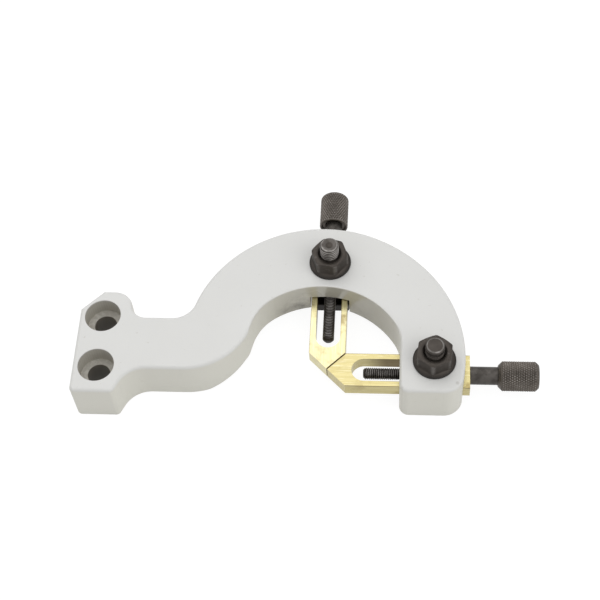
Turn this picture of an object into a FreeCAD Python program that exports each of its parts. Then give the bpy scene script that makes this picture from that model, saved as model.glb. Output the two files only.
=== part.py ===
import FreeCAD, Part
import math
import os
import re
import Sketcher
from FreeCAD import Placement, Rotation, Vector

# Driving dimensions in millimetres and degrees. The origin is midway between the two mounting holes on
# the back face, +X runs from the base to the work and +Z points to the side of the clamp nuts.
SIZES = {
    # Casting as a whole
    "casting_thickness": 21.5,
    "front_edge_fillet": 1.5,
    "back_edge_fillet": 1.0,
    # Base block with its two counterbored holes
    "base_side": 10.0,
    "base_half_height": 24.5,
    "base_corner_cut": 9.0,
    "base_small_corner": 2.2,
    "base_foot": 8.2,
    "base_flank_angle": 65.0,
    "base_flank_fillet": 12.0,
    "base_round_offset": 4.0,
    "base_round": 8.0,
    "base_neck_fillet": 6.5,
    "mount_spacing": 24.0,
    "mount_hole": 9.5,
    "counterbore": 15.4,
    "counterbore_depth": 8.5,
    # Arm between the base and the ring
    "arm_above": 12.0,
    "arm_below": 13.0,
    "throat_radius": 29.0,
    "shoulder_radius": 10.0,
    # Open ring round the work, its arcs placed from the spindle's axis
    "spindle_x": 96.0,
    "spindle_y": -7.0,
    "inner_radius": 36.8,
    "inner_back": 2.8,
    "inner_drop": 1.4,
    "inner_side_step": 15.3,
    "inner_side_back": 11.5,
    "inner_end_radius": 16.0,
    "ring_wall": 27.2,
    "outer_back": 6.1,
    "outer_rise": 2.6,
    "outer_side_step": 7.8,
    "outer_side_back": 3.1,
    "tip_step": 6.1,
    "tip_front": 14.7,
    "tip_inner_corner": 4.0,
    "tip_outer_corner": 8.0,
    # The ring's inside is cast smaller, then cut out to size
    "inner_skim": 0.6,
    "inner_leave_angle": 13.7,
    # The back is relieved from the arm to the tip: it rises, stays level and falls again
    "relief_start": 43.5,
    "relief_rise": 17.0,
    "relief_depth": 5.1,
    "relief_tip_depth": 2.1,
    # Brass fingers and the channels that they slide in
    "finger_width": 15.5,
    "finger_thickness": 6.5,
    "finger_past_bolt": 12.4,
    "finger_depth": 8.9,
    "point_clearance": 0.25,
    "slot_width": 10.5,
    "slot_start": 10.5,
    "end_wall": 5.0,
    "channel_side_clearance": 0.7,
    "channel_roof_clearance": 0.65,
    # Clamp bolts with round heads under the fingers, flatted to fit the channels
    "top_bolt_land": 14.3,
    "rear_bolt_land": 12.2,
    "top_bolt_rise": 12.5,
    "rear_bolt_rise": 14.0,
    "bolt_thread": 8.0,
    "bolt_collar": 10.0,
    "bolt_head": 22.6,
    "bolt_head_flats": 16.5,
    "bolt_head_thickness": 5.0,
    "bolt_head_clearance": 0.1,
    "bolt_hole_clearance": 0.25,
    "bolt_end_chamfer": 0.9,
    # Hexagon nuts with flanges
    "nut_flats": 13.0,
    "nut_height": 8.0,
    "nut_flange": 17.9,
    "nut_rim": 0.9,
    "nut_slope": 1.1,
    "nut_chamfer_angle": 30.0,
    "nut_bore_chamfer": 0.7,
    "nut_seat_clearance": 0.05,
    "thread_clearance": 0.08,
    # Adjusting screws with knurled knobs
    "screw_thread": 5.0,
    "screw_point_inset": 15.4,
    "screw_point_chamfer": 0.9,
    "screw_neck": 7.6,
    "top_neck_length": 11.6,
    "rear_neck_length": 15.6,
    "screw_seat_clearance": 0.1,
    "screw_hole_clearance": 0.1,
    "knob": 12.6,
    "top_knob_length": 16.9,
    "rear_knob_length": 15.1,
    "knob_near_chamfer": 1.8,
    "knob_far_chamfer": 1.4,
    # Spring rings that keep the screws in the fingers
    "spring_ring": 6.2,
    "spring_ring_thickness": 0.8,
    "spring_ring_mouth": 2.4,
    "spring_ring_clearance": 0.05,
    "groove": 3.8,
}

# Sizes that follow from the driving ones
DERIVED = {
    "inner_side_radius": "inner_radius - inner_side_step",
    "cast_inner_radius": "inner_radius - inner_skim",
    "cast_inner_side_radius": "inner_side_radius - inner_skim",
    "outer_radius": "inner_radius + ring_wall",
    "outer_side_radius": "outer_radius - outer_side_step",
    "tip_inside": "inner_radius - tip_step",
    "top_bolt_reach": "tip_inside + top_bolt_land",
    "rear_bolt_reach": "inner_radius - inner_drop + rear_bolt_land",
    "finger_length": "rear_bolt_reach + finger_past_bolt",
    "finger_top": "casting_thickness - finger_depth",
    "finger_bottom": "finger_top - finger_thickness",
    "screw_height": "finger_bottom + finger_thickness / 2",
    "channel_width": "finger_width + 2 * channel_side_clearance",
    "channel_depth": "finger_top + channel_roof_clearance",
    "slot_end": "finger_length - end_wall",
    "head_top": "finger_bottom - bolt_head_clearance",
    "head_bottom": "head_top - bolt_head_thickness",
    "ring_stop": "slot_end - slot_width / 2 + sqrt(slot_width ^ 2 - spring_ring ^ 2) / 2",
    "ring_end": "ring_stop - spring_ring_clearance",
    "ring_start": "ring_end - spring_ring_thickness",
    "screw_seat": "finger_length + screw_seat_clearance",
    "top_knob_start": "screw_seat + top_neck_length",
    "top_knob_end": "top_knob_start + top_knob_length",
    "rear_knob_start": "screw_seat + rear_neck_length",
    "rear_knob_end": "rear_knob_start + rear_knob_length",
}

# Two heights or volumes this close count as the same
SAME = 0.001

# A sketch's own origin, as an element and a position on it
ORIGIN = (-1, 1)

DOC = FreeCAD.newDocument("follow_rest")
SHEET = DOC.addObject("Spreadsheet::Sheet", "Sizes")


def bound(formula):
    """The formula with each size named as the sheet's own cell."""
    names = SIZES.keys() | DERIVED.keys()
    return re.sub(r"[a-z_]+", lambda word: f"Sizes.{word[0]}" if word[0] in names else word[0], formula)


def fill_sheet():
    """Give each size a row: its name, then its value under that name as the alias."""
    for row, (name, size) in enumerate(SIZES.items(), start=1):
        SHEET.set(f"A{row}", name)
        SHEET.set(f"B{row}", str(size))
        SHEET.setAlias(f"B{row}", name)
    for row, (name, formula) in enumerate(DERIVED.items(), start=len(SIZES) + 1):
        SHEET.set(f"A{row}", name)
        SHEET.set(f"B{row}", f"={formula}")
        SHEET.setAlias(f"B{row}", name)
    DOC.recompute()


def value(formula):
    """What a formula of the sheet's sizes comes to."""
    return float(SHEET.evalExpression(bound(formula)))


def new_body(name):
    body = DOC.addObject("PartDesign::Body", name)
    body.Label = name
    return body


def place(body, across, along, height, turn=0.0):
    """Put the body at three formulas, turned about the vertical by an angle in degrees."""
    body.Placement = Placement(Vector(), Rotation(Vector(0, 0, 1), turn))
    body.setExpression("Placement.Base.x", bound(across))
    body.setExpression("Placement.Base.y", bound(along))
    body.setExpression("Placement.Base.z", bound(height))


def new_sketch(body, name, role="XY_Plane", offset="0"):
    """A sketch on one of the body's own origin planes, moved off it along its normal."""
    sketch = body.newObject("Sketcher::SketchObject", name)
    plane = next(feature for feature in body.Origin.OriginFeatures if feature.Role == role)
    sketch.AttachmentSupport = [(plane, "")]
    sketch.MapMode = "FlatFace"
    sketch.setExpression("AttachmentOffset.Base.z", bound(offset))
    return sketch


def hold(sketch, formula, kind, *where):
    """Add a dimension to the sketch and bind it to a formula."""
    index = sketch.addConstraint(Sketcher.Constraint(kind, *where, value(formula)))
    sketch.setExpression(f"Constraints[{index}]", bound(formula))


def hold_angle(sketch, formula, line):
    """Bind a line's angle to a formula in degrees."""
    angle = Sketcher.Constraint("Angle", line, math.radians(value(formula)))
    index = sketch.addConstraint(angle)
    sketch.setExpression(f"Constraints[{index}]", bound(f"({formula}) * 1 deg"))


def hold_point(sketch, point, across, up):
    """Place a point, given as its element and position, from the sketch's origin."""
    hold(sketch, across, "DistanceX", *ORIGIN, *point)
    hold(sketch, up, "DistanceY", *ORIGIN, *point)


def draw_polygon(sketch, corners):
    """Draw a closed polygon, each of its corners placed by two formulas."""
    first = sketch.GeometryCount
    points = [Vector(value(across), value(up), 0) for across, up in corners]
    for start, end in zip(points, points[1:] + points[:1]):
        sketch.addGeometry(Part.LineSegment(start, end), False)
    for index, (across, up) in enumerate(corners):
        before = first + (index - 1) % len(corners)
        sketch.addConstraint(Sketcher.Constraint("Coincident", before, 2, first + index, 1))
        hold_point(sketch, (first + index, 1), across, up)


def draw_circle(sketch, across, up, diameter):
    middle = Vector(value(across), value(up), 0)
    circle = sketch.addGeometry(Part.Circle(middle, Vector(0, 0, 1), value(diameter) / 2), False)
    hold(sketch, diameter, "Diameter", circle)
    hold_point(sketch, (circle, 3), across, up)


def draw_rectangle(sketch, left, right, low, high):
    draw_polygon(sketch, [(left, low), (right, low), (right, high), (left, high)])


def add_feature(body, kind, name, sketch):
    """Add a feature made from a sketch to the body."""
    feature = body.newObject(f"PartDesign::{kind}", name)
    feature.Profile = sketch
    return feature


def pad(body, name, sketch, length):
    feature = add_feature(body, "Pad", name, sketch)
    feature.setExpression("Length", bound(length))
    DOC.recompute()
    return feature


def cut(body, name, sketch, length=None, upward=True, both_ways=False):
    """Cut along the sketch's normal, or against it, through everything unless a length is given."""
    before = body.Tip.Shape.Volume
    feature = add_feature(body, "Pocket", name, sketch)
    feature.Reversed = upward
    feature.SideType = "Symmetric" if both_ways else "One side"
    if length:
        feature.setExpression("Length", bound(length))
    else:
        feature.Type = "ThroughAll"
    DOC.recompute()
    if feature.Shape.Volume > before - SAME:
        raise ValueError(f"{body.Label}: {name} takes nothing away")
    return feature


def revolve(body, kind, name, sketch, axis):
    """Turn a sketch once round one of its own axes, to add or to take away."""
    feature = add_feature(body, kind, name, sketch)
    feature.ReferenceAxis = (sketch, [axis])
    feature.Angle = 360
    DOC.recompute()
    return feature


def edges_at(shape, height):
    """Names of the edges that lie flat at that height."""
    boxes = [edge.BoundBox for edge in shape.Edges]
    flat = [max(abs(box.ZMin - height), abs(box.ZMax - height)) < SAME for box in boxes]
    return [f"Edge{number}" for number, found in enumerate(flat, start=1) if found]


def round_edges(body, name, height, radius):
    base = body.Tip
    feature = body.newObject("PartDesign::Fillet", name)
    feature.Base = (base, edges_at(base.Shape, value(height)))
    feature.setExpression("Radius", bound(radius))
    DOC.recompute()


def beside(centre, distance, height, side):
    """The point at that height, that far from the centre, on its left (-1) or right (1)."""
    across = math.sqrt(value(distance) ** 2 - (height - centre.y) ** 2)
    return Vector(centre.x + side * across, height, 0)


def above(centre, distance, across):
    """The point above the centre at that place across, that far from it."""
    return Vector(across, centre.y + math.sqrt(value(distance) ** 2 - (across - centre.x) ** 2), 0)


def touch(centre, radius, other):
    """Where an arc meets the one round the other centre: on the line through both."""
    return centre + (other - centre).normalize() * value(radius)


def draw_arc(sketch, centre, start, end):
    """Draw the short arc between two points and say which of its ends comes first."""
    first, last = (start - centre, end - centre)
    leftward = first.x * last.y > first.y * last.x
    if not leftward:
        first, last = (last, first)
    circle = Part.Circle(centre, Vector(0, 0, 1), first.Length)
    angles = (math.atan2(first.y, first.x), math.atan2(last.y, last.x))
    index = sketch.addGeometry(Part.ArcOfCircle(circle, *angles), False)
    return (index, 1, 2) if leftward else (index, 2, 1)


def draw_outline(sketch, pieces, corners):
    """Draw a closed outline of lines and arcs, joined smoothly but for the corners named.

    Each piece gives its start, then an arc's centre and radius. A corner is at a piece's start.
    """
    names = list(pieces)
    pairs = list(zip(names, names[1:] + names[:1]))
    drawn = {}
    for name, after in pairs:
        start, centre, radius = pieces[name]
        if centre:
            drawn[name] = draw_arc(sketch, centre, start, pieces[after][0])
            hold(sketch, radius, "Radius", drawn[name][0])
        else:
            line = Part.LineSegment(start, pieces[after][0])
            drawn[name] = (sketch.addGeometry(line, False), 1, 2)
    for name, after in pairs:
        joint = "Coincident" if after in corners else "Tangent"
        before, _, last = drawn[name]
        following, first, _ = drawn[after]
        sketch.addConstraint(Sketcher.Constraint(joint, before, last, following, first))
    return drawn


def inner_centres(radius, side_radius):
    """Where the ring's inner arc and the arcs at its two ends are centred, for these radii."""
    inner = Vector(value("spindle_x - inner_back"), value("spindle_y - inner_drop"), 0)
    side_x = value("spindle_x - inner_side_back")
    end_x = value("spindle_x + tip_inside - inner_end_radius")
    inner_side = above(inner, f"{radius} - {side_radius}", side_x)
    inner_end = above(inner, f"{radius} - inner_end_radius", end_x)
    return inner, inner_side, inner_end


def draw_casting(sketch):
    """Draw the base, the arm and the open ring in one outline of lines and tangent arcs."""
    left = -value("base_side")
    half = value("base_half_height")
    small = value("base_small_corner")
    cut_back = value("base_corner_cut")
    above_arm = value("arm_above")
    below_arm = -value("arm_below")
    inside = value("spindle_x + tip_inside")
    front = value("spindle_y - tip_front")
    tip_corner = value("tip_inner_corner")
    slope = Vector(value("cos(base_flank_angle)"), value("sin(base_flank_angle)"), 0)

    # The flank of the base leans between two rounded corners
    bend = value("tan(base_flank_angle / 2)")
    foot = Vector(value("base_foot"), -half, 0)
    flank_top = foot + slope * ((below_arm + half) / slope.y)
    foot_run = small * bend
    flank_run = value("base_flank_fillet") * bend
    foot_centre = Vector(foot.x - foot_run, -half + small, 0)
    flank_centre = Vector(flank_top.x + flank_run, below_arm - value("base_flank_fillet"), 0)

    # Each arc's centre stands where the arc touches both of its neighbours
    inner, inner_side, inner_end = inner_centres("cast_inner_radius", "cast_inner_side_radius")
    throat_y = below_arm + value("throat_radius")
    throat = beside(inner_side, "throat_radius + cast_inner_side_radius", throat_y, -1)
    outer = Vector(value("spindle_x - outer_back"), value("spindle_y + outer_rise"), 0)
    outer_side_x = value("spindle_x - outer_side_back")
    outer_side = above(outer, "outer_radius - outer_side_radius", outer_side_x)
    tip_inner = Vector(inside + tip_corner, front + tip_corner, 0)
    tip_outer_y = front + value("tip_outer_corner")
    tip_outer = beside(outer, "outer_radius - tip_outer_corner", tip_outer_y, 1)
    shoulder_y = above_arm + value("shoulder_radius")
    shoulder = beside(outer_side, "outer_side_radius + shoulder_radius", shoulder_y, -1)
    base_round = Vector(value("base_round_offset"), half - value("base_round"), 0)
    neck_y = above_arm + value("base_neck_fillet")
    neck = beside(base_round, "base_round + base_neck_fillet", neck_y, 1)
    back_corner = Vector(left + small, -half + small, 0)

    # The outline runs anticlockwise: where each piece starts, then an arc's centre and radius
    pieces = {
        "foot": (Vector(left + small, -half, 0), None, None),
        "foot_corner": (Vector(foot_centre.x, -half, 0), foot_centre, "base_small_corner"),
        "flank": (foot + slope * foot_run, None, None),
        "flank_fillet": (flank_top - slope * flank_run, flank_centre, "base_flank_fillet"),
        "arm_low": (Vector(flank_centre.x, below_arm, 0), None, None),
        "throat": (Vector(throat.x, below_arm, 0), throat, "throat_radius"),
        "inner_side": (touch(throat, "throat_radius", inner_side), inner_side, "cast_inner_side_radius"),
        "inner": (touch(inner, "cast_inner_radius", inner_side), inner, "cast_inner_radius"),
        "inner_end": (touch(inner, "cast_inner_radius", inner_end), inner_end, "inner_end_radius"),
        "tip_inside": (Vector(inside, inner_end.y, 0), None, None),
        "tip_inner": (Vector(inside, tip_inner.y, 0), tip_inner, "tip_inner_corner"),
        "tip_front": (Vector(tip_inner.x, front, 0), None, None),
        "tip_outer": (Vector(tip_outer.x, front, 0), tip_outer, "tip_outer_corner"),
        "outer": (touch(outer, "outer_radius", tip_outer), outer, "outer_radius"),
        "outer_side": (touch(outer, "outer_radius", outer_side), outer_side, "outer_side_radius"),
        "shoulder": (touch(shoulder, "shoulder_radius", outer_side), shoulder, "shoulder_radius"),
        "arm_high": (Vector(shoulder.x, above_arm, 0), None, None),
        "neck": (Vector(neck.x, above_arm, 0), neck, "base_neck_fillet"),
        "base_round": (touch(base_round, "base_round", neck), base_round, "base_round"),
        "base_top": (Vector(base_round.x, half, 0), None, None),
        "corner_cut": (Vector(left + cut_back, half, 0), None, None),
        "base_back": (Vector(left, half - cut_back, 0), None, None),
        "back_corner": (Vector(left, back_corner.y, 0), back_corner, "base_small_corner"),
    }
    drawn = draw_outline(sketch, pieces, corners={"corner_cut", "base_back"})
    element = {name: ends[0] for name, ends in drawn.items()}
    for name in ("foot", "arm_low", "tip_front", "arm_high", "base_top"):
        sketch.addConstraint(Sketcher.Constraint("Horizontal", element[name]))
    for name in ("tip_inside", "base_back"):
        sketch.addConstraint(Sketcher.Constraint("Vertical", element[name]))

    heights = {
        "foot": "-base_half_height",
        "base_top": "base_half_height",
        "arm_low": "-arm_below",
        "arm_high": "arm_above",
        "tip_front": "spindle_y - tip_front",
    }
    for name, height in heights.items():
        hold(sketch, height, "DistanceY", *ORIGIN, element[name], 1)
    foot_back = "base_small_corner * tan(base_flank_angle / 2)"
    places = {
        ("corner_cut", 1): "base_corner_cut - base_side",
        ("foot_corner", 3): f"base_foot - {foot_back}",
        ("base_round", 3): "base_round_offset",
        ("inner_side", 3): "spindle_x - inner_side_back",
        ("outer_side", 3): "spindle_x - outer_side_back",
        ("tip_inside", 1): "spindle_x + tip_inside",
    }
    for (name, position), across in places.items():
        hold(sketch, across, "DistanceX", *ORIGIN, element[name], position)
    hold_point(sketch, (element["base_back"], 1), "-base_side", "base_half_height - base_corner_cut")
    hold_point(sketch, (element["inner"], 3), "spindle_x - inner_back", "spindle_y - inner_drop")
    hold_point(sketch, (element["outer"], 3), "spindle_x - outer_back", "spindle_y + outer_rise")
    hold_angle(sketch, "base_flank_angle", element["flank"])


def draw_opening(sketch):
    """Draw the ring's inside as it is finished, closed through the free space below it."""
    inside = value("spindle_x + tip_inside")
    middle = value("spindle_y")
    low = value("spindle_y - inner_radius")
    right = value("spindle_x + finger_width")
    inner, inner_side, inner_end = inner_centres("inner_radius", "inner_side_radius")

    # A straight piece leaves the side arc smoothly and runs down clear of the throat
    away = Vector(-value("cos(inner_leave_angle)"), value("sin(inner_leave_angle)"), 0)
    side_start = inner_side + away * value("inner_side_radius")
    down = Vector(-away.y, away.x, 0)
    left = side_start + down * ((middle - side_start.y) / down.y)
    pieces = {
        "left_edge": (Vector(left.x, low, 0), None, None),
        "leaving": (left, None, None),
        "inner_side": (side_start, inner_side, "inner_side_radius"),
        "inner": (touch(inner, "inner_radius", inner_side), inner, "inner_radius"),
        "inner_end": (touch(inner, "inner_radius", inner_end), inner_end, "inner_end_radius"),
        "tip_inside": (Vector(inside, inner_end.y, 0), None, None),
        "middle_edge": (Vector(inside, middle, 0), None, None),
        "right_edge": (Vector(right, middle, 0), None, None),
        "low_edge": (Vector(right, low, 0), None, None),
    }
    corners = {"left_edge", "leaving", "middle_edge", "right_edge", "low_edge"}
    drawn = draw_outline(sketch, pieces, corners)
    element = {name: ends[0] for name, ends in drawn.items()}
    for name in ("middle_edge", "low_edge"):
        sketch.addConstraint(Sketcher.Constraint("Horizontal", element[name]))
    for name in ("left_edge", "tip_inside", "right_edge"):
        sketch.addConstraint(Sketcher.Constraint("Vertical", element[name]))
    hold_point(sketch, (element["inner"], 3), "spindle_x - inner_back", "spindle_y - inner_drop")
    hold(sketch, "spindle_x - inner_side_back", "DistanceX", *ORIGIN, element["inner_side"], 3)
    hold_point(sketch, (element["tip_inside"], 2), "spindle_x + tip_inside", "spindle_y")
    hold_point(sketch, (element["low_edge"], 1), "spindle_x + finger_width", "spindle_y - inner_radius")
    hold(sketch, "spindle_y", "DistanceY", *ORIGIN, element["leaving"], 1)
    hold_angle(sketch, "90 - inner_leave_angle", element["leaving"])


def make_casting():
    """The painted casting: base, arm and open ring, with channels milled into its back."""
    body = new_body("frame_casting")
    outline = new_sketch(body, "casting_outline")
    draw_casting(outline)
    pad(body, "casting_block", outline, "casting_thickness")
    round_edges(body, "front_edges", "casting_thickness", "front_edge_fillet")
    round_edges(body, "back_edges", "0", "back_edge_fillet")

    # The finished inside comes after the rounded edges, so its own front edge stays sharp
    opening = new_sketch(body, "opening_outline", offset="casting_thickness")
    draw_opening(opening)
    cut(body, "ring_opening", opening, upward=False)

    relief = new_sketch(body, "relief_profile", "XZ_Plane")
    draw_polygon(
        relief,
        [
            ("relief_start", "0"),
            ("relief_start + relief_rise", "relief_depth"),
            ("spindle_x", "relief_depth"),
            ("spindle_x + tip_inside", "relief_tip_depth"),
            ("spindle_x + tip_inside", "0"),
        ],
    )
    cut(body, "back_relief", relief, both_ways=True)

    channels = new_sketch(body, "channel_outlines")
    half = "channel_width / 2"
    draw_rectangle(
        channels,
        "spindle_x + finger_width",
        "spindle_x + top_knob_start",
        f"spindle_y - {half}",
        f"spindle_y + {half}",
    )
    draw_rectangle(
        channels,
        f"spindle_x - {half}",
        f"spindle_x + {half}",
        "spindle_y + finger_width",
        "spindle_y + rear_knob_start",
    )
    cut(body, "channels", channels, "channel_depth")

    bolt_holes = new_sketch(body, "bolt_hole_circles")
    hole = "bolt_thread + 2 * bolt_hole_clearance"
    draw_circle(bolt_holes, "spindle_x + top_bolt_reach", "spindle_y", hole)
    draw_circle(bolt_holes, "spindle_x", "spindle_y + rear_bolt_reach", hole)
    cut(body, "bolt_holes", bolt_holes)

    mounts = new_sketch(body, "mount_circles", offset="casting_thickness")
    draw_circle(mounts, "0", "-mount_spacing / 2", "mount_hole")
    draw_circle(mounts, "0", "mount_spacing / 2", "mount_hole")
    DOC.recompute()
    before = body.Tip.Shape.Volume
    holes = add_feature(body, "Hole", "mount_holes", mounts)
    DOC.recompute()
    holes.DepthType = "ThroughAll"
    holes.HoleCutType = "Counterbore"
    holes.HoleCutCustomValues = True
    holes.setExpression("Diameter", bound("mount_hole"))
    holes.setExpression("HoleCutDiameter", bound("counterbore"))
    holes.setExpression("HoleCutDepth", bound("counterbore_depth"))
    DOC.recompute()
    if holes.Shape.Volume > before - SAME:
        raise ValueError("the mounting holes take nothing away")
    return body


def make_finger(name, turn):
    """A brass bar with a right-angled point, a long slot and a wall that closes it behind."""
    body = new_body(name)
    outline = new_sketch(body, f"{name}_outline")
    draw_polygon(
        outline,
        [
            ("point_clearance", "0"),
            ("point_clearance + finger_width / 2", "-finger_width / 2"),
            ("finger_length", "-finger_width / 2"),
            ("finger_length", "finger_width / 2"),
            ("point_clearance + finger_width / 2", "finger_width / 2"),
        ],
    )
    pad(body, f"{name}_bar", outline, "finger_thickness")

    slot = new_sketch(body, f"{name}_slot_outline")
    half = value("slot_width / 2")
    near = Vector(value("slot_start") + half, 0, 0)
    far = Vector(value("slot_end") - half, 0, 0)
    side = Vector(0, half, 0)
    quarter = math.pi / 2
    far_circle = Part.Circle(far, Vector(0, 0, 1), half)
    near_circle = Part.Circle(near, Vector(0, 0, 1), half)
    slot.addGeometry(Part.LineSegment(near - side, far - side), False)
    slot.addGeometry(Part.ArcOfCircle(far_circle, -quarter, quarter), False)
    slot.addGeometry(Part.LineSegment(far + side, near + side), False)
    slot.addGeometry(Part.ArcOfCircle(near_circle, quarter, -quarter), False)
    for index in range(4):
        slot.addConstraint(Sketcher.Constraint("Tangent", index, 2, (index + 1) % 4, 1))
    slot.addConstraint(Sketcher.Constraint("Equal", 1, 3))
    hold_point(slot, (3, 3), "slot_start + slot_width / 2", "0")
    hold_point(slot, (1, 3), "slot_end - slot_width / 2", "0")
    hold(slot, "slot_width / 2", "Radius", 1)
    cut(body, f"{name}_slot", slot)

    screw_hole = new_sketch(body, f"{name}_screw_circle", "YZ_Plane", "slot_start + slot_width / 2")
    draw_circle(screw_hole, "0", "finger_thickness / 2", "screw_thread + 2 * screw_hole_clearance")
    cut(body, f"{name}_screw_hole", screw_hole)
    place(body, "spindle_x", "spindle_y", "finger_bottom", turn)
    return body


def make_bolt(name, across, along, rise, turn):
    """A clamp bolt: a head with two flats, a collar cross-bored for the screw, and a shank."""
    body = new_body(name)
    shank = new_sketch(body, f"{name}_profile", "XZ_Plane")
    top = f"casting_thickness + {rise}"
    draw_polygon(
        shank,
        [
            ("0", "head_bottom"),
            ("bolt_head / 2", "head_bottom"),
            ("bolt_head / 2", "head_top"),
            ("bolt_collar / 2", "head_top"),
            ("bolt_collar / 2", "finger_top"),
            ("bolt_thread / 2", "finger_top"),
            ("bolt_thread / 2", f"{top} - bolt_end_chamfer"),
            ("bolt_thread / 2 - bolt_end_chamfer", top),
            ("0", top),
        ],
    )
    revolve(body, "Revolution", f"{name}_turning", shank, "V_Axis")
    flats = new_sketch(body, f"{name}_flat_outlines", offset="head_bottom")
    reach = "bolt_head / 2"
    draw_rectangle(flats, f"-{reach}", reach, "bolt_head_flats / 2", reach)
    draw_rectangle(flats, f"-{reach}", reach, f"-{reach}", "-bolt_head_flats / 2")
    cut(body, f"{name}_flats", flats, "bolt_head_thickness")
    bore = new_sketch(body, f"{name}_bore_circle", "YZ_Plane")
    draw_circle(bore, "0", "screw_height", "screw_thread + 2 * thread_clearance")
    cut(body, f"{name}_bore", bore, both_ways=True)
    place(body, across, along, "0", turn)
    return body


def make_nut(name, across, along, turn):
    """A hexagon nut with a sloping flange under it."""
    body = new_body(name)
    flange = new_sketch(body, f"{name}_flange_profile", "XZ_Plane")
    draw_polygon(
        flange,
        [
            ("0", "0"),
            ("nut_flange / 2", "0"),
            ("nut_flange / 2", "nut_rim"),
            ("nut_flats / 2", "nut_rim + nut_slope"),
            ("0", "nut_rim + nut_slope"),
        ],
    )
    revolve(body, "Revolution", f"{name}_flange", flange, "V_Axis")

    hexagon = new_sketch(body, f"{name}_hexagon")
    corner = "nut_flats / sqrt(3)"
    draw_polygon(
        hexagon,
        [(f"{corner} * cos({angle})", f"{corner} * sin({angle})") for angle in range(0, 360, 60)],
    )
    pad(body, f"{name}_flats", hexagon, "nut_height")

    bore = new_sketch(body, f"{name}_bore_circle")
    draw_circle(bore, "0", "0", "bolt_thread + 2 * thread_clearance")
    cut(body, f"{name}_bore", bore)

    # Corners cut back at the top, and the mouth of the bore opened
    chamfers = new_sketch(body, f"{name}_chamfer_profile", "XZ_Plane")
    beyond = "nut_flange / 2"
    bore_edge = "bolt_thread / 2 + thread_clearance"
    drop = f"({beyond} - nut_flats / 2) * tan(nut_chamfer_angle)"
    draw_polygon(
        chamfers,
        [("nut_flats / 2", "nut_height"), (beyond, f"nut_height - {drop}"), (beyond, "nut_height")],
    )
    draw_polygon(
        chamfers,
        [
            (bore_edge, "nut_height"),
            (bore_edge, "nut_height - nut_bore_chamfer"),
            (f"{bore_edge} + nut_bore_chamfer", "nut_height"),
        ],
    )
    before = body.Tip.Shape.Volume
    revolve(body, "Groove", f"{name}_chamfers", chamfers, "V_Axis")
    if body.Tip.Shape.Volume > before - SAME:
        raise ValueError(f"{name}: the chamfers take nothing away")
    place(body, across, along, "casting_thickness + nut_seat_clearance", turn)
    return body


def make_screw(name, turn, knob_start, knob_end):
    """An adjusting screw: point, thread, ring groove, neck and knob, turned from one bar."""
    body = new_body(name)
    profile = new_sketch(body, f"{name}_profile")
    thread = "screw_thread / 2"
    draw_polygon(
        profile,
        [
            ("screw_point_inset", "0"),
            ("screw_point_inset", f"{thread} - screw_point_chamfer"),
            ("screw_point_inset + screw_point_chamfer", thread),
            ("ring_start - spring_ring_clearance", thread),
            ("ring_start - spring_ring_clearance", "groove / 2"),
            ("ring_end + spring_ring_clearance", "groove / 2"),
            ("ring_end + spring_ring_clearance", thread),
            ("screw_seat", thread),
            ("screw_seat", "screw_neck / 2"),
            (knob_start, "screw_neck / 2"),
            (knob_start, "knob / 2 - knob_near_chamfer"),
            (f"{knob_start} + knob_near_chamfer", "knob / 2"),
            (f"{knob_end} - knob_far_chamfer", "knob / 2"),
            (knob_end, "knob / 2 - knob_far_chamfer"),
            (knob_end, "0"),
        ],
    )
    revolve(body, "Revolution", f"{name}_turning", profile, "H_Axis")
    place(body, "spindle_x", "spindle_y", "screw_height", turn)
    return body


def make_spring_ring(name, turn):
    """A spring ring, open on one side, in the screw's groove behind the finger's end wall."""
    body = new_body(name)
    outline = new_sketch(body, f"{name}_outline", "YZ_Plane", "ring_start")
    draw_circle(outline, "0", "0", "spring_ring")
    draw_circle(outline, "0", "0", "groove + 2 * spring_ring_clearance")
    pad(body, f"{name}_band", outline, "spring_ring_thickness")
    mouth = new_sketch(body, f"{name}_mouth_outline", "YZ_Plane", "ring_start")
    half = "spring_ring_mouth / 2"
    draw_rectangle(mouth, f"-{half}", half, "0", "spring_ring")
    cut(body, f"{name}_mouth", mouth)
    place(body, "spindle_x", "spindle_y", "screw_height", turn)
    return body


def check(bodies):
    """Stop on any failed object or any sub-part that isn't one sound solid."""
    for item in DOC.Objects:
        if {"Invalid", "Error"} & set(item.State):
            raise ValueError(f"{item.Name} failed: {item.State}")
        if item.isDerivedFrom("Sketcher::SketchObject") and not item.FullyConstrained:
            raise ValueError(f"{item.Name} isn't fully constrained")
    for body in bodies:
        shape = body.Shape
        if shape.isNull() or not shape.isValid() or len(shape.Solids) != 1:
            raise ValueError(f"{body.Label} isn't one sound solid")


def main():
    """Build the follow rest: a top set along +X and a rear set along +Y, both round the spindle."""
    fill_sheet()
    bodies = [make_casting()]
    # For each set: its turn and its nut's in degrees, then the clamp bolt's place and its rise
    sides = {
        "top": (0, 30, "spindle_x + top_bolt_reach", "spindle_y", "top_bolt_rise"),
        "rear": (90, 0, "spindle_x", "spindle_y + rear_bolt_reach", "rear_bolt_rise"),
    }
    for side, (turn, nut_turn, across, along, rise) in sides.items():
        bodies.append(make_finger(f"{side}_finger", turn))
        knob = (f"{side}_knob_start", f"{side}_knob_end")
        bodies.append(make_screw(f"{side}_adjusting_screw", turn, *knob))
        bodies.append(make_spring_ring(f"{side}_spring_ring", turn))
        bodies.append(make_bolt(f"{side}_clamp_bolt", across, along, rise, turn))
        bodies.append(make_nut(f"{side}_flange_nut", across, along, nut_turn))
    DOC.recompute()
    check(bodies)
    os.makedirs("parts", exist_ok=True)
    for body in bodies:
        body.Shape.exportStep(f"parts/{body.Label}.step")


main()
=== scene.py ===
import math

import bpy
import numpy as np
from mathutils import Matrix, Vector


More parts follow.
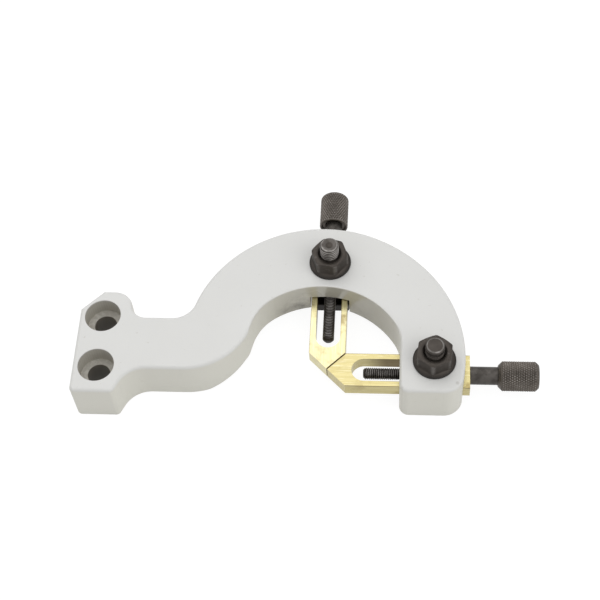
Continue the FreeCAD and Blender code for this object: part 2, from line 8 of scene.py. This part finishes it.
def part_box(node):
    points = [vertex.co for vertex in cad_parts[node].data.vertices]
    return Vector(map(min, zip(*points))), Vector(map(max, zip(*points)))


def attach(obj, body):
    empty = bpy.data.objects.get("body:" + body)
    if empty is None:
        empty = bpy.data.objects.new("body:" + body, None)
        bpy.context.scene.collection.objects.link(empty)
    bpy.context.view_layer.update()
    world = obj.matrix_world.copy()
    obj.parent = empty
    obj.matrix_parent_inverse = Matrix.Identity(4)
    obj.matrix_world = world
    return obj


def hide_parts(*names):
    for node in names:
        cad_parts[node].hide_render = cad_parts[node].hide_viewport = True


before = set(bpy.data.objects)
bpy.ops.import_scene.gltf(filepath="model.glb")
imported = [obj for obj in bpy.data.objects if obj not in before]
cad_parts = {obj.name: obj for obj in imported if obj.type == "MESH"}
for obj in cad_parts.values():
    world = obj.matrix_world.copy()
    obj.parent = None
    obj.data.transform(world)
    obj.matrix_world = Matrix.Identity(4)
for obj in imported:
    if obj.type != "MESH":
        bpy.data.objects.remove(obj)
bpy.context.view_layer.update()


# Casting
# One iron casting makes the base, the arm and the open ring. It is painted a light grey, and the
# seats of its two mounting screws are counterbored through the paint.

class Field:
    """A socket of a material's nodes; arithmetic on it adds Math nodes."""

    def __init__(self, tree, socket=None):
        self.tree = tree
        self.socket = socket

    def make(self, kind, settings=None, inputs=None, output=0):
        """Add a node of this type, with its settings first, then its values and links."""
        node = self.tree.nodes.new("ShaderNode" + kind)
        for name, setting in (settings or {}).items():
            setattr(node, name, setting)
        for name, given in (inputs or {}).items():
            if isinstance(given, Field):
                self.tree.links.new(given.socket, node.inputs[name])
            else:
                node.inputs[name].default_value = given
        return Field(self.tree, node.outputs[output])

    def math(self, operation, first, second=0.0):
        return self.make("Math", {"operation": operation}, {0: first, 1: second})

    def __add__(self, other):
        return self.math("ADD", self, other)

    __radd__ = __add__

    def __sub__(self, other):
        return self.math("SUBTRACT", self, other)

    def __rsub__(self, other):
        return self.math("SUBTRACT", other, self)

    def __mul__(self, other):
        return self.math("MULTIPLY", self, other)

    def __pow__(self, other):
        return self.math("POWER", self, other)

    def __abs__(self):
        return self.math("ABSOLUTE", self)

    def at_least(self, other):
        return self.math("MAXIMUM", self, other)


def place_of(start):
    """The point on the object, then its three parts, as fields in metres."""
    point = start.make("TexCoord", output=3)
    parts = [start.make("SeparateXYZ", {}, {0: point}, output=index) for index in range(3)]
    return point, *parts


def fade(field, low, high):
    """Zero below low and one above high, with a smooth rise between."""
    ramp = {"interpolation_type": "SMOOTHSTEP", "clamp": True}
    return field.make("MapRange", ramp, {"Value": field, "From Min": low, "From Max": high})


def apart(x, y, centre):
    """How far a point is from a centre, in the plane of the two axes given."""
    return ((x - centre[0]) ** 2.0 + (y - centre[1]) ** 2.0) ** 0.5


def mottle(point, scale, detail=3.0, roughness=0.5, stretch=None):
    """Noise between zero and one, with so many patches to the metre."""
    if stretch:
        point = point.make("Mapping", {}, {"Vector": point, "Scale": stretch})
    inputs = {"Vector": point, "Scale": scale, "Detail": detail, "Roughness": roughness}
    return point.make("TexNoise", {}, inputs)


def blend_colours(share, first, second):
    """The first colour where share is zero, and the second where it is one."""
    settings = {"data_type": "RGBA", "clamp_factor": True}
    return share.make("Mix", settings, {0: share, 6: first, 7: second}, output=2)


def bump(height, distance, strength=1.0, normal=None):
    """The surface raised by height, as a field from zero to one, times distance in metres."""
    inputs = {"Height": height, "Distance": distance, "Strength": strength}
    if normal:
        inputs["Normal"] = normal
    return height.make("Bump", {}, inputs)


def new_finish(name):
    """A material with its shader, and a field to start its nodes from."""
    material = bpy.data.materials.new(name)
    material.use_nodes = True
    shader = material.node_tree.nodes["Principled BSDF"]
    return material, shader, Field(material.node_tree)


def set_finish(shader, inputs):
    """Give the shader its values and its links."""
    tree = shader.id_data
    for name, given in inputs.items():
        if isinstance(given, Field):
            tree.links.new(given.socket, shader.inputs[name])
        else:
            shader.inputs[name].default_value = given


def cover(piece, material):
    """Make this the piece's only material."""
    piece.data.materials.clear()
    piece.data.materials.append(material)


mount_spacing = 0.024
hole_radius = 0.00475
counterbore_radius = 0.0077
counterbore_floor = 0.0130
casting_top = 0.0215
spindle = np.array((0.096, -0.007))
ring_middle = (0.0932, -0.0084)
ring_radius = 0.0368
chip_place = (0.1504, -0.0173)
# Each brown stain on the ring's wall, darkened towards the wall's bottom by painted shade: its place,
# its reach and its strength
stains = (((0.0825, 0.0250), 0.018, 1.0), ((0.1090, 0.0275), 0.014, 0.4))

paint, shader, start = new_finish("light_grey_paint")
point, x, y, z = place_of(start)
patches = mottle(point, 28.0, 4.0, 0.55)
specks = fade(mottle(point, 420.0, 2.0, 0.6), 0.66, 0.78)
colour = blend_colours(patches, (0.68, 0.677, 0.655, 1), (0.745, 0.745, 0.73, 1))
colour = blend_colours(specks * 0.25, colour, (0.42, 0.38, 0.32, 1))
sides_of_it = 1 - fade(z, casting_top - 0.0018, casting_top - 0.0003)
# Painted light: the casting's sides below its top are tinted warmer, as if warm light fell on them.
colour = blend_colours(sides_of_it * 0.5, colour, (0.71, 0.69, 0.57, 1))
chip = (1 - fade(apart(x, y, chip_place), 0.0003, 0.0011)) * (1 - sides_of_it)
colour = blend_colours(chip * 0.35, colour, (0.3, 0.28, 0.24, 1))
from_hole = apart(x, abs(y), (0.0, mount_spacing / 2))
inside = 1 - fade(from_hole, counterbore_radius - 0.00005, counterbore_radius + 0.0001)
bored = inside * (1 - fade(z, casting_top - 0.0008, casting_top - 0.0002))
colour = blend_colours(bored * 0.8, colour, (0.37, 0.345, 0.3, 1))
hole_wall = 1 - fade(from_hole, hole_radius + 0.00005, hole_radius + 0.00015)
seat = inside * (1 - hole_wall) * (1 - fade(abs(z - counterbore_floor), 0.0003, 0.0006))
scuffs = fade(mottle(point, 600.0, 3.0, 0.6), 0.4, 0.65)
colour = blend_colours(seat * (0.4 + scuffs * 0.6), colour, (0.62, 0.6, 0.55, 1))
# Painted shade: the walls of the mounting holes are darkened almost to black.
colour = blend_colours(hole_wall * 0.75, colour, (0.12, 0.105, 0.085, 1))
from_middle = apart(x, y, ring_middle)
on_wall = 1 - fade(from_middle, ring_radius + 0.0001, ring_radius + 0.0003)
below_top = 1 - fade(z, casting_top - 0.0002, casting_top)
# The ring's inner wall is machined, glossier and darker than the paint. Its darkening is also painted
# shade, deepest near the fingers and fading towards the throat and the tip.
shade_along_ring = fade(x, 0.0600, 0.0830) * (1 - fade(x, 0.1120, 0.1300) * 0.7)
machined_and_shaded_wall = on_wall * below_top * shade_along_ring
by_finger = machined_and_shaded_wall * (1 - fade(abs(x - spindle[0]), 0.012, 0.024))
colour = blend_colours(machined_and_shaded_wall * 0.8, colour, (0.46, 0.44, 0.375, 1))
# Brown stains on the inner wall, with painted shade that darkens them towards the wall's bottom.
grime_and_shade = fade(mottle(point, 160.0, 4.0, 0.65), 0.25, 0.7)
grime_and_shade = grime_and_shade * machined_and_shaded_wall * (1 - fade(z, 0.004, 0.0205))
for place, reach, strength in stains:
    stain_and_shade = grime_and_shade * (1 - fade(apart(x, y, place), 0.002, reach))
    colour = blend_colours(stain_and_shade * strength, colour, (0.12, 0.105, 0.07, 1))
peel = mottle(point, 900.0, 3.0, 0.55)
waves = mottle(point, 90.0, 2.0, 0.5)
set_finish(
    shader,
    {
        "Base Color": colour,
        "Roughness": 0.38 + patches * 0.12 + bored * 0.2 - machined_and_shaded_wall * 0.16,
        "Specular IOR Level": 0.45,
        "Coat Weight": by_finger * 0.7,
        "Coat Roughness": 0.12,
        "Normal": bump(peel, 0.00006, 0.5, bump(waves, 0.0004, 0.35)),
    },
)
cover(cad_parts["frame_casting"], paint)


# Fingers
# Two brass bars, milled on all sides, slide in the casting's channels. Each has a right-angled
# point at the work and a long slot for its clamp bolt and its adjusting screw.

finger_width = 0.0155
finger_top = 0.0126
slot_width = 0.0105
slot_end = 0.0550


def finger_finish(name, along, dull, bright):
    """Milled brass between two colours, with scratches along the bar, the axis that along names,
    dirt in patches, and painted shade on the slot's walls towards the clamp bolt, along the bar's
    top edges and where the two points meet."""
    brass, shader, start = new_finish(name)
    point, x, y, z = place_of(start)
    stretch = (0.04, 1.0, 1.0) if along == "x" else (1.0, 0.04, 1.0)
    side = abs(y - spindle[1]) if along == "x" else abs(x - spindle[0])
    reach = x - spindle[0] if along == "x" else y - spindle[1]
    scratches = mottle(point, 2600.0, 2.0, 0.6, stretch)
    streaks = mottle(point, 700.0, 3.0, 0.6, stretch)
    stains = mottle(point, 120.0, 4.0, 0.6)
    colour = blend_colours(streaks, dull, bright)
    glints = fade(scratches, 0.56, 0.7) * 0.4
    colour = blend_colours(glints, colour, (0.88, 0.84, 0.64, 1))
    dirt = fade(stains, 0.5, 0.68) * (0.35 + fade(reach, 0.012, 0.03) * 0.4)
    on_slot_wall = 1 - fade(side, slot_width / 2 + 0.00005, slot_width / 2 + 0.0002)
    before_end = 1 - fade(reach, slot_end - 0.0002, slot_end + 0.0002)
    shaded_slot = on_slot_wall * fade(reach, 0.014, 0.026) * before_end
    colour = blend_colours(dirt, colour, (0.22, 0.155, 0.055, 1))
    # Painted shade: the slot's walls darken almost to black towards the clamp bolt.
    colour = blend_colours(shaded_slot * 0.85, colour, (0.1, 0.065, 0.025, 1))
    # Painted shade: dark lines along the bar's top edges and in the gap where the two points meet.
    at_side = fade(side, finger_width / 2 - 0.00025, finger_width / 2 - 0.00005)
    edges = at_side * fade(z, finger_top - 0.0005, finger_top - 0.0002)
    meeting = 1 - fade(abs((x - spindle[0]) - (y - spindle[1])), 0.0003, 0.0007)
    beyond = fade(x, spindle[0] - 0.0005, spindle[0] + 0.0005)
    shade_lines = (edges * 0.8).at_least(meeting * beyond * 0.9)
    colour = blend_colours(shade_lines, colour, (0.1, 0.065, 0.025, 1))
    set_finish(
        shader,
        {
            "Base Color": colour,
            "Metallic": 0.9,
            "Roughness": 0.2 + scratches * 0.22,
            "Normal": bump(scratches, 0.00003, 0.5),
        },
    )
    return brass


top_brass = finger_finish("top_brass", "x", (0.38, 0.32, 0.13, 1), (0.6, 0.53, 0.28, 1))
rear_brass = finger_finish("rear_brass", "y", (0.5, 0.44, 0.21, 1), (0.76, 0.71, 0.46, 1))
cover(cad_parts["top_finger"], top_brass)
cover(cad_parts["rear_finger"], rear_brass)


# Clamp bolts
# Each has a head with two flats in the channel under its finger, a collar in the finger's slot
# with a bore for the adjusting screw, and an M8 shank up through the casting. They are blackened
# steel, and the rear one's thread is worn bright at its end.

def black_steel(name, brightening, dark=(0.026, 0.021, 0.018, 1), pale=(0.072, 0.062, 0.053, 1), shaded_below=0.0):
    """Black oxide on turned steel, a little brown, bright where the given function of x, y and z is
    one: wear, and a painted highlight on the nuts' flange edges. Below the height given last it is
    darkened to black, a painted shade."""
    black, shader, start = new_finish(name)
    point, x, y, z = place_of(start)
    patches = mottle(point, 260.0, 4.0, 0.6)
    grain = mottle(point, 2400.0, 2.0, 0.6)
    spots = mottle(point, 700.0, 3.0, 0.6)
    colour = blend_colours(patches, dark, pale)
    brightened = fade(spots, 0.6, 0.75) * 0.1 + brightening(x, y, z) * (0.35 + fade(patches, 0.35, 0.65) * 0.8)
    colour = blend_colours(brightened, colour, (0.5, 0.48, 0.46, 1))
    # Painted shade: near black below the given height.
    painted_shade = (1 - fade(z, shaded_below, shaded_below + 0.001)) * 0.85
    colour = blend_colours(painted_shade, colour, (0.008, 0.007, 0.006, 1))
    set_finish(
        shader,
        {
            "Base Color": colour,
            "Metallic": 0.75,
            "Roughness": 0.36 + patches * 0.18,
            "Normal": bump(grain, 0.00003, 0.4),
        },
    )
    return black


def make_surface(name, grid):
    """A closed skin over a grid of points. Each row is a ring, joined to the next row, and the
    first and last rows are closed on their own middles."""
    rows, around = grid.shape[:2]
    points = np.concatenate([grid.reshape(-1, 3), [grid[0].mean(0), grid[-1].mean(0)]])
    column = np.arange(around)
    after = (column + 1) % around
    below = np.arange(rows - 1)[:, None] * around
    above = below + around
    quads = np.stack([below + column, below + after, above + after, above + column], -1)
    first = np.full(around, rows * around)
    last = (rows - 1) * around
    bottom = np.stack([first, after, column], -1)
    top = np.stack([first + 1, last + column, last + after], -1)
    mesh = bpy.data.meshes.new(name)
    mesh.from_pydata(points, [], quads.reshape(-1, 4).tolist() + bottom.tolist() + top.tolist())
    mesh.polygons.foreach_set("use_smooth", np.ones(len(mesh.polygons), bool))
    mesh.update()
    piece = bpy.data.objects.new(name, mesh)
    bpy.context.scene.collection.objects.link(piece)
    return piece


def soften(piece, angle):
    """Keep edges crisp where the faces turn by more than the angle in degrees."""
    piece.data.set_sharp_from_angle(angle=math.radians(angle))


def thread_depth(turn, height, pitch, depth):
    """How far a right-hand thread lies under its outer size. It falls and rises by a cosine once
    a pitch, to a power that widens the crests, and one full turn climbs one pitch."""
    return depth * (0.5 - 0.5 * np.cos(2 * np.pi * (height / pitch - turn / (2 * np.pi)))) ** 1.5


head_top = 0.0060
head_length = 0.0226
head_flats = 0.0165
head_stretch = 1.05
collar_radius = 0.0050
collar_top = 0.0126
shank_radius = 0.0040
bore_radius = 0.00258
screw_height = 0.00935
nut_top = 0.02955
bolt_pitch = 0.00125
bolt_depth = 0.00058
thread_start = 0.0160


def make_bolt(name, centre, top, plain_end, dish, turned):
    """Circles on one axis whose radius follows the profile, pairs of a radius and a height. The
    head's are multiplied into a rounded oblong: the cosine over the stretch and the sine times
    length over flats, each to a high power, are summed, and the sum is taken to minus one over
    that power. The shank loses its thread's depth up to the plain end, and its end is dished."""
    rows = 250
    power = 24
    wide = head_length / 2
    profile = [
        (wide - 0.0004, 0.0010),
        (wide, 0.0014),
        (wide, head_top - 0.0003),
        (wide - 0.0003, head_top),
        (collar_radius, head_top),
        (collar_radius, collar_top),
        (shank_radius, collar_top),
    ]
    height = np.linspace(thread_start - 0.0010, top - 0.0008, rows)
    shank = np.stack([np.full(rows, shank_radius), height], -1)
    end = [(0.0034, top - 0.0001), (0.0031, top), (0.0022, top), (0.0012, top - dish)]
    radius, height = np.concatenate([profile, shank, end]).T[:, :, None]
    turn = np.linspace(0, 2 * np.pi, 144, endpoint=False)
    across = abs(np.sin(turn)) * head_length / head_flats
    oblong = ((abs(np.cos(turn)) / head_stretch) ** power + across**power) ** (-1 / power)
    radius = np.where(radius > collar_radius + 0.001, radius * oblong, radius + 0 * turn)
    begins = np.clip((height - thread_start) / 0.0006, 0, 1)
    ends = np.clip((top - plain_end - height) / 0.0004, 0, 1)
    root = shank_radius - thread_depth(turn, height, bolt_pitch, bolt_depth * begins * ends)
    radius = np.where(height > thread_start - 0.0005, np.minimum(radius, root), radius)
    turn = turn + turned
    grid = np.stack([radius * np.cos(turn), radius * np.sin(turn), height + 0 * radius], -1)
    return make_surface(name, grid + np.append(centre, 0))


def make_bore(name, centre, along):
    """A cylinder through the collar: circles of the bore's radius, one at each end of the way."""
    reach = 0.007
    across = np.array((-along[1], along[0]))
    turn = np.linspace(0, 2 * np.pi, 48, endpoint=False)[:, None]
    ends = [centre + along * way + across * bore_radius * np.cos(turn) for way in (-reach, reach)]
    rings = [np.append(end, screw_height + bore_radius * np.sin(turn), axis=1) for end in ends]
    return make_surface(name, np.stack(rings))


def take_out(piece, cutter):
    """Cut the cutter's shape out of the piece and remove the cutter."""
    modifier = piece.modifiers.new("cut", "BOOLEAN")
    modifier.object = cutter
    modifier.solver = "EXACT"
    seen = piece.evaluated_get(bpy.context.evaluated_depsgraph_get())
    shaped = bpy.data.meshes.new_from_object(seen)
    piece.modifiers.clear()
    piece.data = shaped
    bpy.data.objects.remove(cutter)


def worn_thread(centre, top, crests, rim):
    """Wear above the nut: on the thread from root to crest, on the end's rim, and a little on
    the end itself."""
    def brightening(x, y, z):
        radius = apart(x, y, centre)
        crest = fade(radius, 0.00375, 0.00398) * crests
        edge = fade(z, top - 0.0005, top - 0.0002) * fade(radius, 0.0030, 0.0032) * rim
        face = fade(z, top - 0.0006, top - 0.0003) * crests * 0.15
        return crest.at_least(edge).at_least(face) * fade(z, nut_top - 0.0007, nut_top)
    return brightening


# The way along each side's finger, from the spindle
ways = {"top": np.array((1.0, 0.0)), "rear": np.array((0.0, 1.0))}
# For each side: its bolt's turn, plain end and dish, and the wear of the thread and of the rim
bolts = {
    "top": (0.0, 0.0026, 0.0, 0.06, 0.35),
    "rear": (np.pi / 2, 0.0006, 0.0007, 0.7, 0.5),
}
bolt_centres = {}
for side, (turned, plain_end, dish, crests, rim) in bolts.items():
    low, high = np.array(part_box(f"{side}_clamp_bolt"))
    centre = (low + high)[:2] / 2
    bolt = make_bolt(f"{side}_bolt", centre, high[2], plain_end, dish, turned)
    take_out(bolt, make_bore(f"{side}_bore", centre, ways[side]))
    soften(bolt, 35)
    brightened = worn_thread(centre, high[2], crests, rim)
    # Painted shade: the head and collar, under the finger in the channel, are darkened to black.
    cover(bolt, black_steel(f"{side}_bolt_black", brightened, shaded_below=0.0128))
    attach(bolt, "frame")
    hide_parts(f"{side}_clamp_bolt")
    bolt_centres[side] = centre


# Flange nuts
# An M8 hexagon nut with a wide sloping flange clamps each finger through the casting. It is
# hot forged, so its corners are soft, and blackened like its bolt.

def nut_rings(centre, turned):
    """Rings round one axis. Between flange and top each ring is a hexagon, its distance from the
    axis the half width over the cosine of the angle from the nearest flat's middle, softened at
    the corners. The flange's slope and the top's chamfer, both cones, end where they meet it."""
    flats = 0.0070
    corner = 0.0080
    softness = 60
    flange = 0.00895
    rim = 0.0009
    slope = 0.0008
    bore = 0.00408
    mouth = 0.0050
    height = 0.0080
    turn = np.linspace(0, 2 * np.pi, 240, endpoint=False)
    from_flat = (turn - math.radians(turned) + np.pi / 3) % (np.pi / 3) - np.pi / 6
    hexagon = ((np.cos(from_flat) / flats) ** softness + corner**-softness) ** (-1 / softness)
    meets = rim + slope * (flange - hexagon) / (flange - flats)
    chamfer = height - (hexagon - flats * 0.98) * math.tan(math.radians(30))
    rings = [
        (bore, 0.0),
        (flange - 0.0002, 0.0),
        (flange, 0.0002),
        (flange, rim - 0.0002),
        (flange - 0.00015, rim + 0.00005),
        (flange - 0.0003, rim + 0.0001),
        (hexagon + 0.0006, meets - 0.0002),
        (hexagon + 0.0002, meets + 0.00005),
        (hexagon, meets + 0.0004),
        (hexagon, chamfer - 0.0002),
        (hexagon - 0.00008, chamfer),
        (flats * 0.97, height - 0.00005),
        (flats * 0.93, height),
        (mouth + 0.0001, height),
        (mouth, height - 0.00006),
        (bore, height - 0.0009),
        (bore, 0.0),
    ]
    radius = np.array([ring[0] + 0 * turn for ring in rings])
    level = np.array([ring[1] + 0 * turn for ring in rings])
    x = centre[0] + radius * np.cos(turn)
    y = centre[1] + radius * np.sin(turn)
    return np.stack([x, y, nut_top - height + level], -1)


def make_tube(name, grid):
    """A skin over a grid that closes both ways: its last row is its first."""
    rows, around = grid.shape[:2]
    rows -= 1
    column = np.arange(around)
    after = (column + 1) % around
    below = np.arange(rows)[:, None] * around
    above = (np.arange(rows)[:, None] + 1) % rows * around
    quads = np.stack([below + column, below + after, above + after, above + column], -1)
    mesh = bpy.data.meshes.new(name)
    mesh.from_pydata(grid[:-1].reshape(-1, 3), [], quads.reshape(-1, 4).tolist())
    mesh.polygons.foreach_set("use_smooth", np.ones(len(mesh.polygons), bool))
    mesh.update()
    piece = bpy.data.objects.new(name, mesh)
    bpy.context.scene.collection.objects.link(piece)
    return piece


def lit_rim_and_worn_corners(centre):
    """A painted highlight on the flange's edge, and wear on the corners of the hexagon above it."""
    def brightening(x, y, z):
        radius = apart(x, y, centre)
        above = fade(z, nut_top - 0.0065, nut_top - 0.0060)
        # Painted highlight: a paler line round the flange's edge.
        edge = fade(radius, 0.0087, 0.0089) * 0.25
        return edge.at_least(fade(radius, 0.0074, 0.0079) * above * 0.14)
    return brightening


# How each nut is turned, in degrees
nut_turns = {"top": 25, "rear": -10}
for side, turned in nut_turns.items():
    nut = make_tube(f"{side}_nut", nut_rings(bolt_centres[side], turned))
    soften(nut, 40)
    brightened = lit_rim_and_worn_corners(bolt_centres[side])
    # Painted shade: the nut's lowest part, against the casting, is darkened to black.
    cover(nut, black_steel(f"{side}_nut_black", brightened, shaded_below=nut_top - 0.0073))
    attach(nut, f"{side}_nut")
    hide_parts(f"{side}_flange_nut")


# Adjusting screws
# Each is turned from one bar: an M5 thread through the clamp bolt, a plain neck against the
# finger's end and a knob with a diamond knurl, blackened all over.

screw_radius = 0.0025
groove_radius = 0.0019
neck_radius = 0.0038
knob_radius = 0.0063
screw_pitch = 0.0008
screw_depth = 0.00042
# For each side: the knob's length, how far it stops short of the node's end, its near chamfer,
# its far one, and how deep its near face is dished
knobs = {
    "top": (0.0169, 0.0, 0.0018, 0.0014, 0.0002),
    "rear": (0.0156, 0.0004, 0.0004, 0.0008, 0.0010),
}


def ends_of(node, along):
    """Where a node starts and ends on the way along its finger, from the spindle."""
    return [(np.array(corner)[:2] - spindle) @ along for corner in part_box(node)]


def set_along(grid, side):
    """Turn a grid made along +X from the spindle into the place of that side's screw."""
    along, across, up = grid[..., 0], grid[..., 1], grid[..., 2]
    if side == "top":
        return np.stack([spindle[0] + along, spindle[1] + across, screw_height + up], -1)
    return np.stack([spindle[0] - across, spindle[1] + along, screw_height + up], -1)


def turned_grid(along, radius, turn):
    """Circles round the X axis: one row for each place along, each of its own radii."""
    radius = np.broadcast_to(radius, (len(along), len(turn)))
    places = np.broadcast_to(along[:, None], radius.shape)
    return np.stack([places, radius * np.cos(turn), radius * np.sin(turn)], -1)


def make_rod(side, tip, groove, seat, knob_start):
    """The thread, its point and the plain neck: the radius follows the profile along the axis,
    less the thread's depth up to the groove for the spring ring."""
    rows = 560
    turn = np.linspace(0, 2 * np.pi, 64, endpoint=False)
    step = 0.00001
    profile = [
        (tip, screw_radius - 0.0009),
        (tip + 0.0009, screw_radius),
        (groove[0] - step, screw_radius),
        (groove[0], groove_radius),
        (groove[1], groove_radius),
        (groove[1] + step, screw_radius),
        (seat, screw_radius),
        (seat + step, neck_radius),
        (knob_start + step, neck_radius),
    ]
    places, radii = np.array(profile).T
    threaded = np.linspace(tip + 0.0001, groove[0] - 0.001, rows)
    along = np.concatenate([places[:1], threaded, places[2:]])
    radius = np.interp(along, places, radii)[:, None]
    root = screw_radius - thread_depth(turn, along[:, None], screw_pitch, screw_depth)
    radius = np.where(along[:, None] < groove[0] - 0.0009, np.minimum(radius, root), radius)
    return make_surface(f"{side}_screw_rod", set_along(turned_grid(along, radius, turn), side))


def make_knob(side, knob_start, knob_end, near, far, dish):
    """The knob: circles whose radius follows the chamfered profile, less the knurl, after three
    that sink the near face round the neck. The knurl is two sets of grooves that wind round
    opposite ways, each a triangle wave of the turn and the place along together, and the deeper
    of the two counts."""
    starts = 36
    lead = math.radians(30)
    depth = 0.00045
    rows = 112
    turn = np.linspace(0, 2 * np.pi, starts * 8, endpoint=False)
    along = np.linspace(knob_start, knob_end, rows)
    places = [knob_start, knob_start + near, knob_end - far, knob_end]
    radii = [knob_radius - near, knob_radius, knob_radius, knob_radius - far]
    radius = np.interp(along, places, radii)[:, None]
    winding = starts * (along[:, None] - knob_start) * math.tan(lead) / knob_radius
    grooves = [abs(((starts * turn + way * winding) / np.pi) % 2 - 1) for way in (-1, 1)]
    deepest = np.maximum(*grooves) ** 1.3
    from_start = np.clip((along - knob_start - near * 0.6) / 0.0006, 0, 1)
    from_end = np.clip((knob_end - far * 0.5 - along) / 0.0006, 0, 1)
    radius = radius - depth * deepest * (from_start * from_end)[:, None]
    face = knob_radius - near - 0.0004
    sunk = np.array([neck_radius, face - dish * 0.6, face])[:, None] + 0 * turn
    radius = np.concatenate([sunk, radius])
    along = np.concatenate([[knob_start + dish, knob_start + dish, knob_start], along])
    return make_surface(f"{side}_knob", set_along(turned_grid(along, radius, turn), side))


def worn_crests(side, crest, depth, amount, beyond=0.0):
    """Wear on the crests, which grows from their depth up to their radius about the screw, and
    another amount on what is wider than they are."""
    def brightening(x, y, z):
        aside = y - spindle[1] if side == "top" else x - spindle[0]
        radius = apart(aside, z, (0.0, screw_height))
        wider = fade(radius, crest + 0.0001, crest + 0.0003)
        return fade(radius, crest - depth, crest) * (1 - wider) * amount + wider * beyond
    return brightening


rod_tones = {"dark": (0.02, 0.017, 0.0145, 1), "pale": (0.06, 0.051, 0.043, 1)}
# The knob is given paler tones than the rod of the same blackened bar, a painted highlight.
lit_knob_tones = {"dark": (0.055, 0.047, 0.04, 1), "pale": (0.14, 0.121, 0.104, 1)}
for side, along in ways.items():
    tip, knob_end = ends_of(f"{side}_adjusting_screw", along)
    knob_length, short_by, near, far, dish = knobs[side]
    knob_end -= short_by
    knob_start = knob_end - knob_length
    ring = ends_of(f"{side}_spring_ring", along)
    seat = ends_of(f"{side}_finger", along)[1] + 0.0001
    rod = make_rod(side, tip, (ring[0] - 0.00005, ring[1] + 0.00005), seat, knob_start + dish)
    rubbed = worn_crests(side, screw_radius, 0.00014, 0.45, 0.08)
    cover(rod, black_steel(f"{side}_rod_black", rubbed, **rod_tones))
    knob = make_knob(side, knob_start, knob_end, near, far, dish)
    bright = worn_crests(side, knob_radius, 0.00014, 0.9)
    cover(knob, black_steel(f"{side}_knob_black", bright, **lit_knob_tones))
    for piece in (rod, knob):
        soften(piece, 50)
        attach(piece, f"{side}_screw")
        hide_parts(f"{side}_adjusting_screw")


# Spring rings
# A small sprung ring snaps into each screw's groove behind the finger's end wall, so that the
# finger follows the screw both ways. It is plain spring steel.

spring_steel, shader, start = new_finish("spring_steel")
point, x, y, z = place_of(start)
patches = mottle(point, 500.0, 3.0, 0.6)
set_finish(
    shader,
    {
        "Base Color": blend_colours(patches, (0.2, 0.19, 0.18, 1), (0.42, 0.4, 0.38, 1)),
        "Metallic": 0.9,
        "Roughness": 0.3 + patches * 0.15,
    },
)
for side in ("top", "rear"):
    cover(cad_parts[f"{side}_spring_ring"], spring_steel)


# Camera
# It looks down on the part from the ring's open side, a little turned and rolled.

turned, raised, rolled = np.radians((7.974, 57.748, -5.865))
aim = Vector((0.0839, 0.0214, 0.0215))
distance = 0.60326
focal_pixels = 1416.32
picture_pixels = 600
level = math.cos(raised)
back = Vector((math.sin(turned) * level, -math.cos(turned) * level, math.sin(raised)))
right = (-back).cross(Vector((0, 0, 1))).normalized()
up = right.cross(-back)
rolled_right = right * math.cos(rolled) + up * math.sin(rolled)
rolled_up = up * math.cos(rolled) - right * math.sin(rolled)
camera = bpy.data.objects.new("camera", bpy.data.cameras.new("camera"))
camera.data.sensor_width = 36.0
camera.data.lens = focal_pixels / picture_pixels * camera.data.sensor_width
camera.data.clip_start = 0.01
turn = Matrix((rolled_right, rolled_up, back)).transposed().to_4x4()
camera.matrix_world = Matrix.Translation(aim + back * distance) @ turn
bpy.context.scene.collection.objects.link(camera)
bpy.context.scene.camera = camera
bpy.context.scene.view_settings.view_transform = "Standard"


# Floor and light
# A plain white floor, a white room and soft lamps high above the part.

def grade(start, seen, lit):
    """One strength to the camera and in reflections, and another as light on the part."""
    kinds = ("Camera", "Glossy", "Transmission")
    camera_ray, glossy, through = [start.make("LightPath", output=f"Is {kind} Ray") for kind in kinds]
    sight = camera_ray.at_least(glossy).at_least(through)
    return sight * seen + (1 - sight) * lit


floor_paint, shader, start = new_finish("white_floor")
white = (1, 1, 1, 1)
black = (0, 0, 0, 1)
set_finish(
    shader,
    {
        "Base Color": blend_colours(grade(start, 0.16, 0.85), black, white),
        "Emission Color": blend_colours(grade(start, 0.92, 0.0), black, white),
        "Emission Strength": 1.0,
        "Roughness": 0.9,
        "Specular IOR Level": 0.0,
    },
)
floor = bpy.data.objects.new("floor", bpy.data.meshes.new("floor"))
far = 3.0
floor_height = -0.0002
corners = [(-far, -far), (far, -far), (far, far), (-far, far)]
floor.data.from_pydata([(*corner, floor_height) for corner in corners], [], [(0, 1, 2, 3)])
cover(floor, floor_paint)
bpy.context.scene.collection.objects.link(floor)

world = bpy.data.worlds.new("room")
bpy.context.scene.world = world
world.use_nodes = True
room = Field(world.node_tree)
background = world.node_tree.nodes["Background"]
background.inputs["Color"].default_value = white
world.node_tree.links.new(grade(room, 1.0, 0.52).socket, background.inputs["Strength"])


def add_lamp(name, place, aimed_at, size, power):
    """A square lamp that faces the point given."""
    lamp = bpy.data.objects.new(name, bpy.data.lights.new(name, "AREA"))
    lamp.data.size = size
    lamp.data.energy = power
    lamp.location = place
    lamp.rotation_mode = "QUATERNION"
    lamp.rotation_quaternion = (Vector(aimed_at) - Vector(place)).to_track_quat("-Z", "Y")
    bpy.context.scene.collection.objects.link(lamp)


add_lamp("key", (-0.25, 0.5, 1.1), (0.08, 0.0, 0.0), 1.5, 7.4)
add_lamp("fill", (0.9, -0.4, 0.8), (0.08, 0.0, 0.0), 1.0, 4.0)
